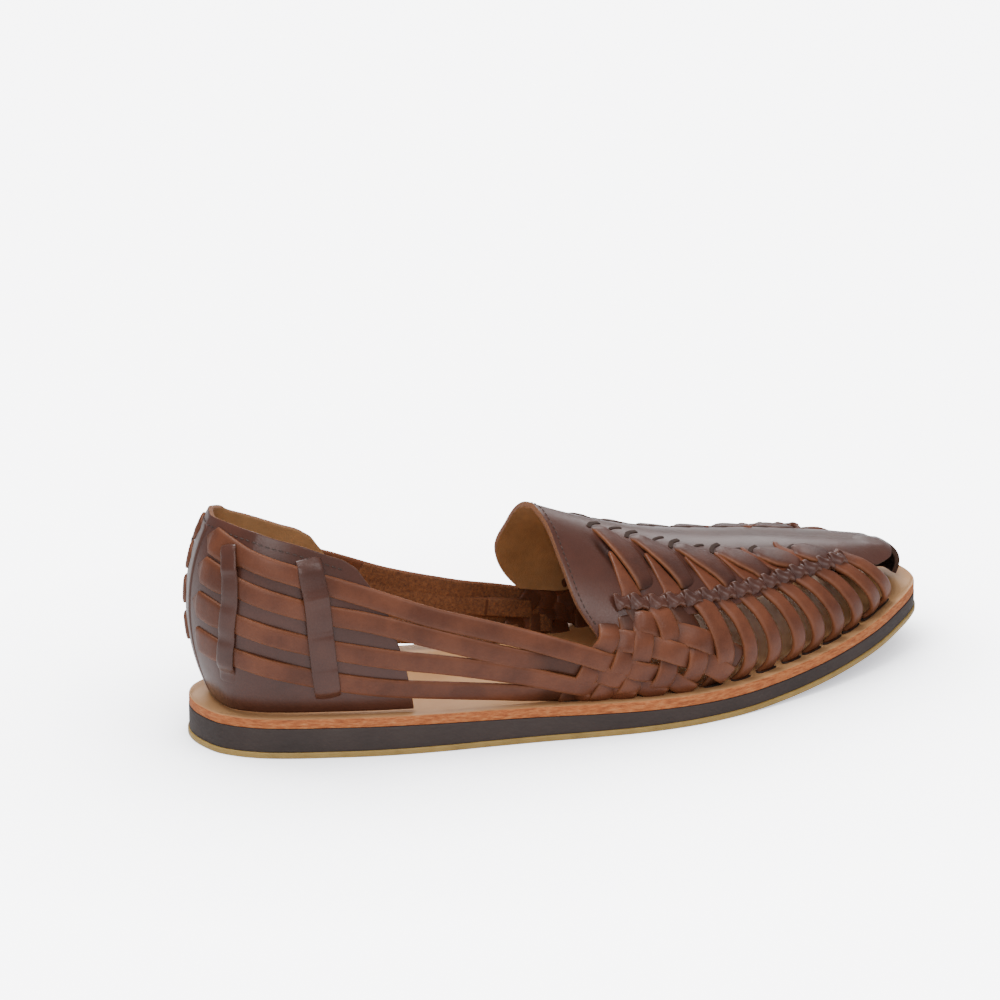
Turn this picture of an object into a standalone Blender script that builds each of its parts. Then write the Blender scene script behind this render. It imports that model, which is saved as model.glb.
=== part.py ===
"""A huarache sandal for the right foot, standing empty on its sole.

Metres, +Z up. +X runs from heel to toe, +Y to the big toe side (medial), -Y to the
little toe side (lateral). The origin is on the floor under the middle of the heel seat.
Tables are in millimetres, with x counted from the back of the heel.
"""

import bmesh
import bpy
import numpy as np

MM = 0.001

# Driving dimensions, in millimetres
HEEL_BACK = -2.0
SOLE_LENGTH = 294.0
HEEL_CENTRE = (35.0, 3.0)
TOE_SPRING = 13.5
SPRING_START = 0.66
SPRING_POWER = 1.9
HEEL_STACK = 15.4
BALL_STACK = 12.0
OUTSOLE_THICKNESS = 2.3
FOOTBED_HEEL = 3.8
FOOTBED_BALL = 4.3
LAYER_GAP = 0.3
SEAT_INSET = 6.5
HEEL_INSET = 8.5
HEEL_INSET_END = 0.12
FOOTBED_DISH = 1.0
LEATHER = 2.0
STRIP = 1.8
RIB_WIDTH = 6.6
STRAP_WIDTH = 7.2
BAR_WIDTH = 7.0
BAR_THICKNESS = 3.2
BAR_LIFT = 0.3
BAND_WIDTH = 9.0
WEAVE_LIFT = 0.7
TRIM_MARGIN = 6.0
TRIM_DEPTH = 12.0
FLAT_ANGLE = 0.035

# Half outline of the outsole: x from the heel back, lateral y, medial y
OUTLINE = (
    (-2.0, 5.0, 5.0),
    (0.0, -5.5, 15.0),
    (3.0, -12.2, 20.0),
    (7.0, -16.7, 23.5),
    (15.0, -22.5, 28.5),
    (25.0, -26.8, 32.2),
    (40.0, -31.2, 35.2),
    (60.0, -36.0, 36.0),
    (80.0, -38.9, 35.0),
    (100.0, -40.6, 34.2),
    (120.0, -42.4, 35.2),
    (140.0, -44.8, 38.8),
    (160.0, -46.4, 44.5),
    (180.0, -45.6, 50.0),
    (200.0, -41.6, 54.0),
    (220.0, -35.1, 55.4),
    (240.0, -27.2, 53.8),
    (255.0, -19.8, 50.6),
    (268.0, -11.9, 48.3),
    (278.0, -3.9, 43.1),
    (286.0, 3.4, 37.0),
    (290.6, 10.2, 29.6),
    (292.0, 18.8, 18.8),
)

# Sections of the upper, by the station x of the sole's edge that they start from. Columns: x,
# crown x, y and z, then for each side the handles of the wall's Bezier curve: how far the low
# one stands out and up from the footbed, and the half width and drop of the high one.
SECTIONS = (
    (-2.0, 45.0, 3.0, 118.0, 15.7, 32.0, 52.0, 20.0, 15.7, 32.0, 52.0, 20.0),
    (20.0, 53.0, 3.0, 117.0, 13.0, 32.0, 40.0, 20.0, 13.0, 32.0, 40.0, 20.0),
    (45.0, 69.0, 2.0, 113.0, 12.0, 31.0, 29.0, 20.0, 11.0, 31.0, 30.0, 20.0),
    (75.0, 88.0, 1.0, 104.0, 13.0, 29.0, 27.0, 14.0, 12.0, 29.0, 28.0, 14.0),
    (105.0, 107.0, 0.0, 91.0, 15.0, 27.0, 23.0, 5.0, 13.0, 27.0, 23.0, 5.0),
    (140.0, 130.0, 0.0, 78.5, 16.0, 25.0, 18.0, -1.0, 14.0, 25.0, 19.0, -1.0),
    (165.0, 154.0, 1.5, 69.0, 15.0, 23.0, 20.0, -1.0, 14.0, 23.0, 22.0, 0.0),
    (190.0, 179.0, 4.0, 61.0, 14.0, 21.0, 22.0, -1.0, 14.0, 21.0, 25.0, 1.0),
    (215.0, 203.0, 7.0, 55.5, 13.0, 19.0, 22.0, -1.0, 14.0, 19.0, 26.0, 1.5),
    (240.0, 227.0, 10.0, 51.5, 12.0, 17.0, 20.0, -1.0, 13.0, 17.0, 24.0, 1.5),
    (262.0, 247.0, 12.5, 47.5, 10.0, 14.0, 18.0, -0.5, 11.0, 14.0, 20.0, 1.0),
    (276.0, 258.0, 14.5, 45.0, 8.0, 12.0, 16.0, 0.0, 8.0, 12.0, 17.0, 1.0),
    (292.0, 262.0, 16.0, 44.0, 7.0, 11.0, 16.0, 0.5, 7.0, 11.0, 16.0, 0.5),
)


def smoothRows(table, at):
    """Every other column of a table at the given values of its first column, on smooth cubics."""
    rows = np.asarray(table, float)
    x, y = rows[:, 0], rows[:, 1:]
    step = np.diff(x)
    chord = np.diff(y, axis=0) / step[:, None]
    slope = np.empty_like(y)
    slope[1:-1] = (chord[:-1] * step[1:, None] + chord[1:] * step[:-1, None]) / (step[1:] + step[:-1])[:, None]
    slope[0] = 1.5 * chord[0] - 0.5 * slope[1]
    slope[-1] = 1.5 * chord[-1] - 0.5 * slope[-2]
    at = np.clip(np.asarray(at, float), x[0], x[-1])
    i = np.clip(np.searchsorted(x, at, side="right") - 1, 0, len(x) - 2)
    h = step[i]
    t = (at - x[i]) / h
    t, h = t[..., None], h[..., None]
    return (y[i] * (2 * t**3 - 3 * t**2 + 1) + slope[i] * h * (t**3 - 2 * t**2 + t)
            + y[i + 1] * (3 * t**2 - 2 * t**3) + slope[i + 1] * h * (t**3 - t**2))


def lengthShare(x):
    return (np.asarray(x, float) - HEEL_BACK) / SOLE_LENGTH


def turnOf(x):
    """The share of the way round from heel back (0) to toe tip (1), even in angle."""
    return np.arccos(np.clip(1 - 2 * lengthShare(x), -1, 1)) / np.pi


OUTLINE_BY_TURN = [(turnOf(x), x, lateral, medial) for x, lateral, medial in OUTLINE]
SECTIONS_BY_TURN = [(turnOf(row[0]),) + row[1:] for row in SECTIONS]


def outline(side, turn):
    """Point x, y of the outsole's edge; side is -1 lateral or 1 medial."""
    row = smoothRows(OUTLINE_BY_TURN, turn)
    x = HEEL_BACK + SOLE_LENGTH / 2 * (1 - np.cos(np.pi * np.asarray(turn, float)))
    return np.stack([x, np.where(np.asarray(side) < 0, row[..., 1], row[..., 2])], -1)


def outward(side, turn):
    """Unit normal of the outline in the plane, pointing away from the sole."""
    step = 0.004
    before = ringPoint(np.asarray(side) * np.asarray(turn) - step)
    after = ringPoint(np.asarray(side) * np.asarray(turn) + step)
    along = after - before
    along /= np.linalg.norm(along, axis=-1, keepdims=True)
    return np.stack([-along[..., 1], along[..., 0]], -1)


def ringPoint(ring):
    """Outline point by ring place: 0 heel back, 1 toe tip on the medial side, -1 on the lateral side."""
    ring = (np.asarray(ring, float) + 1) % 2 - 1
    return outline(np.where(ring < 0, -1, 1), np.abs(ring))


def floorLift(x):
    """Height of the sole's bottom over the floor: flat to the ball, then toe spring."""
    t = np.clip((lengthShare(x) - SPRING_START) / (1 - SPRING_START), 0, None)
    return TOE_SPRING * t**SPRING_POWER


def ease(t):
    t = np.clip(t, 0, 1)
    return t * t * (3 - 2 * t)


def stackHeight(x):
    """Height of the footbed's top edge over the sole's bottom."""
    return HEEL_STACK + (BALL_STACK - HEEL_STACK) * ease((lengthShare(x) - 0.15) / 0.55)


def seatHeight(x):
    return floorLift(x) + stackHeight(x)


def feather(side, turn):
    """Where the upper meets the footbed: the outline moved in, a little more round the heel."""
    inset = HEEL_INSET + (SEAT_INSET - HEEL_INSET) * ease(np.asarray(turn, float) / HEEL_INSET_END)
    xy = outline(side, turn) - inset[..., None] * outward(side, turn)
    return np.concatenate([xy, (seatHeight(xy[..., 0]) + LAYER_GAP)[..., None]], -1)


def skin(side, turn, rise):
    """The upper's outer surface: rise is 0 at the footbed and 1 at the crown line."""
    side, turn, rise = np.broadcast_arrays(np.asarray(side, float), np.asarray(turn, float), np.asarray(rise, float))
    foot = feather(side, turn)
    out = outward(side, turn)
    row = smoothRows(SECTIONS_BY_TURN, turn)
    lateral = side < 0
    def pick(a, b):
        return np.where(lateral, row[..., a], row[..., b])
    outHandle, riseHandle, half, drop = pick(3, 7), pick(4, 8), pick(5, 9), pick(6, 10)
    crown = row[..., 0:3]
    low = foot + np.concatenate([out * outHandle[..., None], riseHandle[..., None]], -1)
    high = crown + np.concatenate([out * half[..., None], -drop[..., None]], -1)
    t = rise[..., None]
    return (1 - t)**3 * foot + 3 * (1 - t)**2 * t * low + 3 * (1 - t) * t**2 * high + t**3 * crown


def skinNormal(side, turn, rise):
    """Unit normal of the skin, pointing out of the shoe."""
    side, turn, rise = np.broadcast_arrays(np.asarray(side, float), np.asarray(turn, float), np.asarray(rise, float))
    step = 0.003
    t0, t1 = np.clip(turn - step, 0, 1), np.clip(turn + step, 0, 1)
    r0, r1 = np.clip(rise - step, 0, 1), np.clip(rise + step, 0, 1)
    along = skin(side, t1, rise) - skin(side, t0, rise)
    up = skin(side, turn, r1) - skin(side, turn, r0)
    normal = np.cross(along, up) * -side[..., None]
    return normal / np.linalg.norm(normal, axis=-1, keepdims=True)


# The upper's own tables. A place on the skin is a station x and a rise, 0 at the footbed
# and 1 at the crown line; the same tables serve both sides.

# Throat edge of the vamp: rise, station on the lateral side, station on the medial side
THROAT = (
    (0.20, 147.0, 140.0),
    (0.30, 145.0, 133.0),
    (0.42, 141.0, 130.0),
    (0.60, 141.0, 136.0),
    (0.80, 142.5, 140.0),
    (1.00, 141.0, 141.0),
)
# Lower edge of the vamp: share of the way from throat to toe tip, rise
VAMP_EDGE = (
    (0.00, 0.290),
    (0.05, 0.310),
    (0.13, 0.410),
    (0.20, 0.405),
    (0.40, 0.445),
    (0.60, 0.525),
    (0.75, 0.590),
    (0.85, 0.600),
    (0.92, 0.520),
    (1.00, 0.500),
)
# Front edge of the counter: rise, station
COUNTER_FRONT = (
    (0.00, 72.5),
    (0.10, 70.5),
    (0.20, 67.5),
    (0.30, 63.0),
    (0.40, 57.5),
    (0.47, 50.5),
    (0.70, 50.5),
)
# Collar edge of the counter: share of the way from back seam to front edge, rise
COLLAR = (
    (0.00, 0.645),
    (0.30, 0.640),
    (0.50, 0.616),
    (0.64, 0.596),
    (0.80, 0.565),
    (0.92, 0.537),
    (0.97, 0.510),
    (1.00, 0.465),
)
# The medial side of the heel sits lower: station, share of the lateral rise
MEDIAL_RISE = (
    (-2.0, 1.00),
    (4.0, 0.94),
    (12.0, 0.91),
    (40.0, 0.88),
    (70.0, 0.83),
    (100.0, 0.79),
    (130.0, 0.86),
    (160.0, 1.00),
)
# Ribs from the vamp's edge to the footbed: head station, head rise, foot station
RIBS = (
    (262.0, 0.64, 275.5),
    (254.0, 0.606, 268.0),
    (245.0, 0.565, 257.5),
    (235.0, 0.535, 247.5),
    (226.5, 0.505, 237.0),
    (218.5, 0.487, 227.0),
    (208.5, 0.455, 215.0),
    (199.0, 0.44, 203.0),
)
# Strips of the side braid that come down from the vamp, front to back
BRAID_DOWN = (
    ((188.5, 0.455), (192.5, 0.30), (193.0, 0.15), (190.0, 0.0)),
    ((178.5, 0.43), (182.5, 0.27), (180.5, 0.13), (176.0, 0.0)),
    ((171.0, 0.42), (172.5, 0.27), (168.5, 0.12), (163.0, 0.0)),
    ((162.5, 0.42), (161.0, 0.28), (157.0, 0.13), (151.5, 0.0)),
    ((159.0, 0.37), (154.5, 0.24), (148.0, 0.11), (142.0, 0.0)),
    ((151.0, 0.32), (143.5, 0.22), (137.0, 0.12), (131.5, 0.0)),
)
# Strips of the side braid that run forward under the vamp's corner
BRAID_ACROSS = (
    ((160.0, 0.375), (174.0, 0.335), (191.0, 0.24), (201.0, 0.14)),
    ((152.0, 0.285), (167.0, 0.25), (184.0, 0.16), (194.0, 0.07)),
)
# Straps from the heel seam, over the counter and into the braid, top to bottom
STRAPS = (
    ((-1.4, 0.585), (6.0, 0.547), (23.0, 0.493), (55.0, 0.42), (76.0, 0.37), (107.0, 0.31), (137.0, 0.227),
     (149.0, 0.18), (168.0, 0.10), (180.0, 0.0)),
    ((-1.4, 0.487), (6.5, 0.45), (26.0, 0.39), (56.0, 0.341), (84.0, 0.28), (107.0, 0.225), (140.0, 0.145),
     (154.0, 0.09), (168.0, 0.0)),
    ((-1.4, 0.372), (7.4, 0.336), (29.0, 0.274), (57.0, 0.226), (90.0, 0.184), (123.0, 0.115), (142.0, 0.055),
     (156.0, 0.0)),
    ((-1.4, 0.248), (8.0, 0.219), (33.0, 0.153), (58.0, 0.11), (85.0, 0.085), (118.0, 0.045), (138.5, 0.0)),
)
# Bars of the counter that hold the straps, top to bottom
BARS = (
    ((1.5, 0.60), (2.5, 0.42), (3.5, 0.28), (4.5, 0.12)),
    ((24.0, 0.55), (29.0, 0.43), (34.5, 0.29), (38.5, 0.14), (40.0, 0.07)),
)
# Raised bands of the vamp, crown to edge: head station, head rise, foot station, foot rise
BANDS = (
    (160.0, 0.90, 171.0, 0.50),
    (175.0, 0.88, 187.0, 0.52),
    (191.0, 0.86, 204.0, 0.54),
    (207.0, 0.84, 220.0, 0.57),
    (222.0, 0.82, 236.0, 0.60),
    (238.0, 0.82, 250.0, 0.65),
)


# Build the scene

def clearScene():
    for obj in list(bpy.data.objects):
        bpy.data.objects.remove(obj, do_unlink=True)


def material(name, colour, roughness):
    made = bpy.data.materials.new(name)
    made.use_nodes = True
    shader = made.node_tree.nodes["Principled BSDF"]
    shader.inputs["Base Color"].default_value = (*colour, 1.0)
    shader.inputs["Roughness"].default_value = roughness
    shader.inputs["Metallic"].default_value = 0.0
    made.diffuse_color = (*colour, 1.0)
    return made


def toPart(points):
    """Table millimetres to metres from the middle of the heel seat."""
    return (np.asarray(points, float) - (*HEEL_CENTRE, 0.0)) * MM


def meshObject(name, points, faces, collection):
    mesh = bpy.data.meshes.new(name)
    mesh.from_pydata(toPart(points).tolist(), [], faces)
    made = bmesh.new()
    made.from_mesh(mesh)
    bmesh.ops.remove_doubles(made, verts=made.verts, dist=0.00001)
    made.to_mesh(mesh)
    made.free()
    obj = bpy.data.objects.new(name, mesh)
    collection.objects.link(obj)
    return obj


def sheet(name, grid, thickness, offset, collection):
    """A wall: an open grid of points with Solidify. Offset -1 keeps the grid as the outer face."""
    rows, columns = grid.shape[:2]
    faces = [(i * columns + j, (i + 1) * columns + j, (i + 1) * columns + j + 1, i * columns + j + 1)
             for i in range(rows - 1) for j in range(columns - 1)]
    obj = meshObject(name, grid.reshape(-1, 3), faces, collection)
    wall = obj.modifiers.new("Wall", "SOLIDIFY")
    wall.thickness = thickness * MM
    wall.offset = offset
    wall.use_even_offset = True
    return obj


def along(places, count):
    """Stations and rises along a strip: a smooth curve through its places, evenly spaced."""
    places = np.asarray(places, float)
    size = np.array((1.0, 80.0))
    gap = np.r_[0, np.cumsum(np.linalg.norm(np.diff(places * size, axis=0), axis=1))]
    return smoothRows(np.c_[gap, places], np.linspace(0, gap[-1], count))


def onSide(side, places):
    """Places along a heel strap or bar on one side: the medial ones are lower."""
    places = np.asarray(places, float)
    if side < 0:
        return places
    return np.c_[places[:, 0], places[:, 1] * smoothRows(MEDIAL_RISE, places[:, 0])[:, 0]]


def strip(name, side, places, width, thickness, lift, count, collection):
    """A strip of leather along the skin; lift is its middle's height over the skin, one or per point."""
    at = along(places, count)
    turn, rise = turnOf(at[:, 0]), at[:, 1]
    normal = skinNormal(side, turn, rise)
    middle = skin(side, turn, rise) + normal * np.broadcast_to(lift, count)[:, None]
    run = np.gradient(middle, axis=0)
    across = np.cross(normal, run)
    across *= (width / 2) / np.linalg.norm(across, axis=1, keepdims=True)
    grid = np.stack([middle - across, middle + across], 1)
    return sheet(name, grid, thickness, 0.0, collection)


def ribPlaces(head, headRise, foot):
    """A rib tucks under the vamp's edge, swings forward and drops into the footbed."""
    swing = 2.5
    return ((head - 2.0, headRise + 0.07), (head, headRise), (head + 0.55 * (foot - head) + swing, headRise * 0.5),
            (foot, 0.0))


def weaveLift(places, others, count, first):
    """Lift along a strip that goes over and under the strips it crosses, in turn."""
    at = along(places, count)
    length = np.linspace(0, 1, count)
    knots = []
    for k, other in enumerate(others):
        line = along(other, 40)
        gap = np.hypot(at[:, None, 0] - line[None, :, 0], 80 * (at[:, None, 1] - line[None, :, 1]))
        if gap.min() < 4.0:
            over = 1 if (k + first) % 2 == 0 else -1
            knots.append((length[np.unravel_index(gap.argmin(), gap.shape)[0]], over * WEAVE_LIFT))
    knots.sort()
    if not knots:
        return np.zeros(count)
    return np.interp(length, [k[0] for k in knots], [k[1] for k in knots])


def vampSheet(collection):
    """The vamp, from the throat over the crown to the toe opening, with its scalloped lower edge."""
    columns, rows = 48, 8
    share = np.linspace(0, 1, columns + 1)[:, None]
    across = np.linspace(-1, 1, rows + 1)[None, :]
    edge = smoothRows(VAMP_EDGE, share[:, 0])[:, 0][:, None]
    scallops = ease((share - 0.14) / 0.04) * ease((0.86 - share) / 0.04)
    edge = edge + 0.018 * scallops * np.cos(2 * np.pi * 12 * share)
    rise = 1 - (1 - edge) * np.abs(across)
    throat = smoothRows(THROAT, rise)
    start = np.where(across < 0, throat[..., 0], throat[..., 1])
    station = start + (HEEL_BACK + SOLE_LENGTH - start) * share
    grid = skin(np.where(across < 0, -1, 1), turnOf(station), rise)
    return sheet("upper", grid, LEATHER, -1.0, collection)


def counterSheet(collection):
    """The heel counter, round the back from one front edge to the other."""
    columns, rows = 28, 7
    share = np.linspace(1, -1, columns + 1)[:, None]
    rise = np.linspace(0, 1, rows + 1)[None, :] * smoothRows(COLLAR, np.abs(share[:, 0]))
    front = smoothRows(COUNTER_FRONT, rise)[..., 0]
    station = HEEL_BACK + (front - HEEL_BACK) * np.abs(share)**2
    rise = np.where(share > 0, rise * smoothRows(MEDIAL_RISE, station)[..., 0], rise)
    grid = skin(np.where(share < 0, -1, 1), turnOf(front) * np.abs(share), rise)
    return sheet("counter", grid, LEATHER, -1.0, collection)


def upperPieces(collection):
    pieces = [counterSheet(collection)]
    overCounter = STRIP / 2 - 0.8
    for side, tag in ((-1, "lateral"), (1, "medial")):
        for k, (head, headRise, foot) in enumerate(RIBS):
            count = 7
            lift = np.interp(np.linspace(0, 1, count), (0, 0.2, 0.4, 1), (-1.3, -0.6, 0.0, -0.3))
            pieces.append(strip(f"rib_{tag}_{k}", side, ribPlaces(head, headRise, foot), RIB_WIDTH, STRIP, lift,
                                count, collection))
        across = BRAID_ACROSS + STRAPS
        for k, places in enumerate(BRAID_DOWN):
            lift = weaveLift(places, across, 9, k)
            lift[0] = -1.2
            pieces.append(strip(f"down_{tag}_{k}", side, places, RIB_WIDTH, STRIP, lift, 9, collection))
        for k, places in enumerate(BRAID_ACROSS):
            lift = weaveLift(places, BRAID_DOWN, 9, k + 1)
            pieces.append(strip(f"across_{tag}_{k}", side, places, RIB_WIDTH, STRIP, lift, 9, collection))
        for k, places in enumerate(STRAPS):
            count = 21
            places = onSide(side, places)
            lift = weaveLift(places, BRAID_DOWN, count, k + len(BRAID_ACROSS) + 1)
            at = along(places, count)
            lift = np.where(at[:, 0] < 110, 1.0 - STRIP / 2, lift)
            pieces.append(strip(f"strap_{tag}_{k}", side, places, STRAP_WIDTH, STRIP, lift, count, collection))
        for k, places in enumerate(BARS):
            pieces.append(strip(f"bar_{tag}_{k}", side, onSide(side, places), BAR_WIDTH, BAR_THICKNESS, BAR_LIFT, 8, collection))
        for k, (head, headRise, foot, footRise) in enumerate(BANDS):
            places = ((head, headRise), ((head + foot) / 2 - 1.5, (headRise + footRise) / 2), (foot, footRise))
            pieces.append(strip(f"band_{tag}_{k}", side, places, BAND_WIDTH, LEATHER, 0.1, 4, collection))
    return pieces


def mainBody(mesh):
    """Keeps the largest connected piece of a mesh, without the slivers that crossing strips leave."""
    made = bmesh.new()
    made.from_mesh(mesh)
    left = set(made.faces)
    largest = set()
    while left:
        found = {left.pop()}
        front = list(found)
        while front:
            face = front.pop()
            for other in {f for edge in face.edges if len(edge.link_faces) == 2 for f in edge.link_faces} & left:
                left.discard(other)
                found.add(other)
                front.append(other)
        if len(found) > len(largest):
            largest = found
    bmesh.ops.delete(made, geom=[face for face in made.faces if face not in largest], context="FACES")
    bmesh.ops.dissolve_limit(made, angle_limit=FLAT_ANGLE, verts=made.verts, edges=made.edges)
    bmesh.ops.triangulate(made, faces=made.faces)
    made.to_mesh(mesh)
    made.free()


def joinUpper(collection, helpers, cutters):
    """One solid: the vamp's wall with every other leather piece united to it where they cross,
    trimmed just above the footbed."""
    upper = vampSheet(collection)
    upperPieces(helpers)
    join = upper.modifiers.new("Join", "BOOLEAN")
    join.operation = "UNION"
    join.operand_type = "COLLECTION"
    join.collection = helpers
    join.solver = "EXACT"
    join.use_self = True
    trimmer = soleLayer("seat_trimmer", -TRIM_MARGIN, lambda x: seatHeight(x) - TRIM_DEPTH,
                        lambda x: seatHeight(x) + LAYER_GAP, cutters)
    trim = upper.modifiers.new("Trim", "BOOLEAN")
    trim.operation = "DIFFERENCE"
    trim.object = trimmer
    trim.solver = "EXACT"
    graph = bpy.context.evaluated_depsgraph_get()
    joined = bpy.data.meshes.new_from_object(upper.evaluated_get(graph))
    mainBody(joined)
    upper.modifiers.clear()
    upper.data = joined
    for helper in list(helpers.objects):
        bpy.data.objects.remove(helper, do_unlink=True)
    bpy.data.collections.remove(helpers)
    return upper


def soleLayer(name, inset, bottom, top, collection, dish=0.0):
    """A layer of the sole: the outline moved in, between two heights that follow x."""
    turn = np.linspace(0, 1, 41)
    rings = []
    for side in (-1, 1):
        rings.append(outline(side, turn) - inset * outward(side, turn))
    lateral, medial = rings
    # Each section runs lateral bottom, lateral top, inner top points, medial top, medial bottom
    def point(share, height, drop=0.0):
        xy = lateral * (1 - share) + medial * share
        return np.c_[xy, height(xy[:, 0]) - drop]
    rim = 0.12
    if dish:
        loop = [point(0, bottom), point(0, top), point(rim, top), point(0.5, top, dish), point(1 - rim, top),
                point(1, top), point(1, bottom)]
    else:
        loop = [point(0, bottom), point(0, top), point(1, top), point(1, bottom)]
    grid = np.stack(loop, 1)
    if dish:
        fade = ease(turn / 0.08) * ease((1 - turn) / 0.08)
        grid[:, 3, 2] += dish * (1 - fade)
    n, m = grid.shape[:2]
    faces = [(i * m + j, i * m + (j + 1) % m, (i + 1) * m + (j + 1) % m, (i + 1) * m + j)
             for i in range(n - 1) for j in range(m)]
    obj = meshObject(name, grid.reshape(-1, 3), faces, collection)
    made = bmesh.new()
    made.from_mesh(obj.data)
    bmesh.ops.dissolve_degenerate(made, dist=0.00001, edges=made.edges)
    bmesh.ops.holes_fill(made, edges=made.edges, sides=0)
    bmesh.ops.recalc_face_normals(made, faces=made.faces)
    made.to_mesh(obj.data)
    made.free()
    return obj


def footbedThickness(x):
    return FOOTBED_HEEL + (FOOTBED_BALL - FOOTBED_HEEL) * ease(lengthShare(x) / 0.6)


def build():
    clearScene()
    parts = bpy.data.collections.new("huarache_sandal")
    helpers = bpy.data.collections.new("upper_pieces")
    cutters = bpy.data.collections.new("cutters")
    for made in (parts, helpers, cutters):
        bpy.context.scene.collection.children.link(made)
    rubber = material("amber_rubber", (0.25, 0.16, 0.03), 0.55)
    foam = material("dark_midsole", (0.07, 0.045, 0.035), 0.7)
    tan = material("natural_leather", (0.62, 0.36, 0.18), 0.6)
    brown = material("brown_leather", (0.12, 0.05, 0.035), 0.45)
    outsole = soleLayer("outsole", 0.0, floorLift, lambda x: floorLift(x) + OUTSOLE_THICKNESS, parts)
    outsole.data.materials.append(rubber)
    midsole = soleLayer("midsole", 0.5, lambda x: floorLift(x) + OUTSOLE_THICKNESS + LAYER_GAP,
                        lambda x: seatHeight(x) - footbedThickness(x) - LAYER_GAP, parts)
    midsole.data.materials.append(foam)
    footbed = soleLayer("footbed", 0.8, lambda x: seatHeight(x) - footbedThickness(x), seatHeight, parts,
                        FOOTBED_DISH)
    footbed.data.materials.append(tan)
    upper = joinUpper(parts, helpers, cutters)
    upper.data.materials.clear()
    upper.data.materials.append(brown)
    for cutter in cutters.objects:
        cutter.hide_render = True
        cutter.display_type = "WIRE"


build()
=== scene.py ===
import bmesh
import bpy
import numpy as np
from mathutils import Matrix, Vector


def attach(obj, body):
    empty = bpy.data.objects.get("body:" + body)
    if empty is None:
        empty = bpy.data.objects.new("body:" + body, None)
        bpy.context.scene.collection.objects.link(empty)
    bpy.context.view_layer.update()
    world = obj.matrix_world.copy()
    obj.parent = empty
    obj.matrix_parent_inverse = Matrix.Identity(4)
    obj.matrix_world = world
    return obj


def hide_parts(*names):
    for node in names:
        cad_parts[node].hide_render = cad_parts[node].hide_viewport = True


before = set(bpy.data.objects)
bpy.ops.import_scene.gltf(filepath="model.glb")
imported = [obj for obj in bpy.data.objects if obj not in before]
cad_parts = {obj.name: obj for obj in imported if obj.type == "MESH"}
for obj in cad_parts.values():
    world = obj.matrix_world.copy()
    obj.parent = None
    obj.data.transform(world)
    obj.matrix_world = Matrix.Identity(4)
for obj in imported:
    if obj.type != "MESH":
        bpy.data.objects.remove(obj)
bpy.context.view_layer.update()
print("frame in:", sorted(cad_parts))

# Lengths in these tables are millimetres, with x counted from the heel end of the sole.
# y is negative on the little toe side (side -1) and positive on the big toe side (side 1).
sole = {
    "heelBack": -2.0, "length": 294.0, "origin": (35.0, 3.0, 0.0),
    "toeSpring": 13.5, "springStart": 0.66, "springPower": 1.9,
    "heelStack": 15.4, "ballStack": 12.0, "rubber": 2.3, "bedHeel": 3.8, "bedBall": 4.3,
    "stackFrom": 0.15, "stackRun": 0.55, "bedRun": 0.6, "dishSide": 0.14, "dishEnd": 0.08,
    "heelInset": 8.5, "seatInset": 6.5, "insetEnd": 0.12, "upperGap": 0.3,
    # station, y of the edge on the lateral side and on the medial side
    "edge": ((-2.0, 5.0, 5.0), (0.0, -5.5, 15.0), (3.0, -12.2, 20.0), (7.0, -16.7, 23.5), (15.0, -22.5, 28.5),
             (25.0, -26.8, 32.2), (40.0, -31.2, 35.2), (60.0, -36.0, 36.0), (80.0, -38.9, 35.0),
             (100.0, -40.6, 34.2), (120.0, -42.4, 35.2), (140.0, -44.8, 38.8), (160.0, -46.4, 44.5),
             (180.0, -45.6, 50.0), (200.0, -41.6, 54.0), (220.0, -35.1, 55.4), (240.0, -27.2, 53.8),
             (255.0, -19.8, 50.6), (268.0, -11.9, 48.3), (278.0, -3.9, 43.1), (286.0, 3.4, 37.0),
             (290.6, 10.2, 29.6), (292.0, 18.8, 18.8)),
}
# The last that the upper is pulled over. Columns: station, crown x, y, z, then for the lateral and the medial
# wall how far its low handle stands out and up, and the half width and drop of its high handle.
last = (
    (-2.0, 45.0, 3.0, 118.0, 15.7, 32.0, 52.0, 20.0, 15.7, 32.0, 52.0, 20.0),
    (20.0, 53.0, 3.0, 117.0, 13.0, 32.0, 40.0, 20.0, 13.0, 32.0, 40.0, 20.0),
    (45.0, 69.0, 2.0, 113.0, 12.0, 31.0, 29.0, 20.0, 11.0, 31.0, 30.0, 20.0),
    (75.0, 88.0, 1.0, 104.0, 13.0, 29.0, 27.0, 14.0, 12.0, 29.0, 28.0, 14.0),
    (105.0, 107.0, 0.0, 91.0, 15.0, 27.0, 23.0, 5.0, 13.0, 27.0, 23.0, 5.0),
    (140.0, 130.0, 0.0, 78.5, 16.0, 25.0, 18.0, -1.0, 14.0, 25.0, 19.0, -1.0),
    (165.0, 154.0, 1.5, 69.0, 15.0, 23.0, 20.0, -1.0, 14.0, 23.0, 22.0, 0.0),
    (190.0, 179.0, 4.0, 61.0, 14.0, 21.0, 22.0, -1.0, 14.0, 21.0, 25.0, 1.0),
    (215.0, 203.0, 7.0, 55.5, 13.0, 19.0, 22.0, -1.0, 14.0, 19.0, 26.0, 1.5),
    (240.0, 227.0, 10.0, 51.5, 12.0, 17.0, 20.0, -1.0, 13.0, 17.0, 24.0, 1.5),
    (262.0, 247.0, 12.5, 47.5, 10.0, 14.0, 18.0, -0.5, 11.0, 14.0, 20.0, 1.0),
    (276.0, 258.0, 14.5, 45.0, 8.0, 12.0, 16.0, 0.0, 8.0, 12.0, 17.0, 1.0),
    (292.0, 262.0, 16.0, 44.0, 7.0, 11.0, 16.0, 0.5, 7.0, 11.0, 16.0, 0.5),
)
riseLength = 80.0  # millimetres that a rise of 1 counts for in steps along the skin


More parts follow.
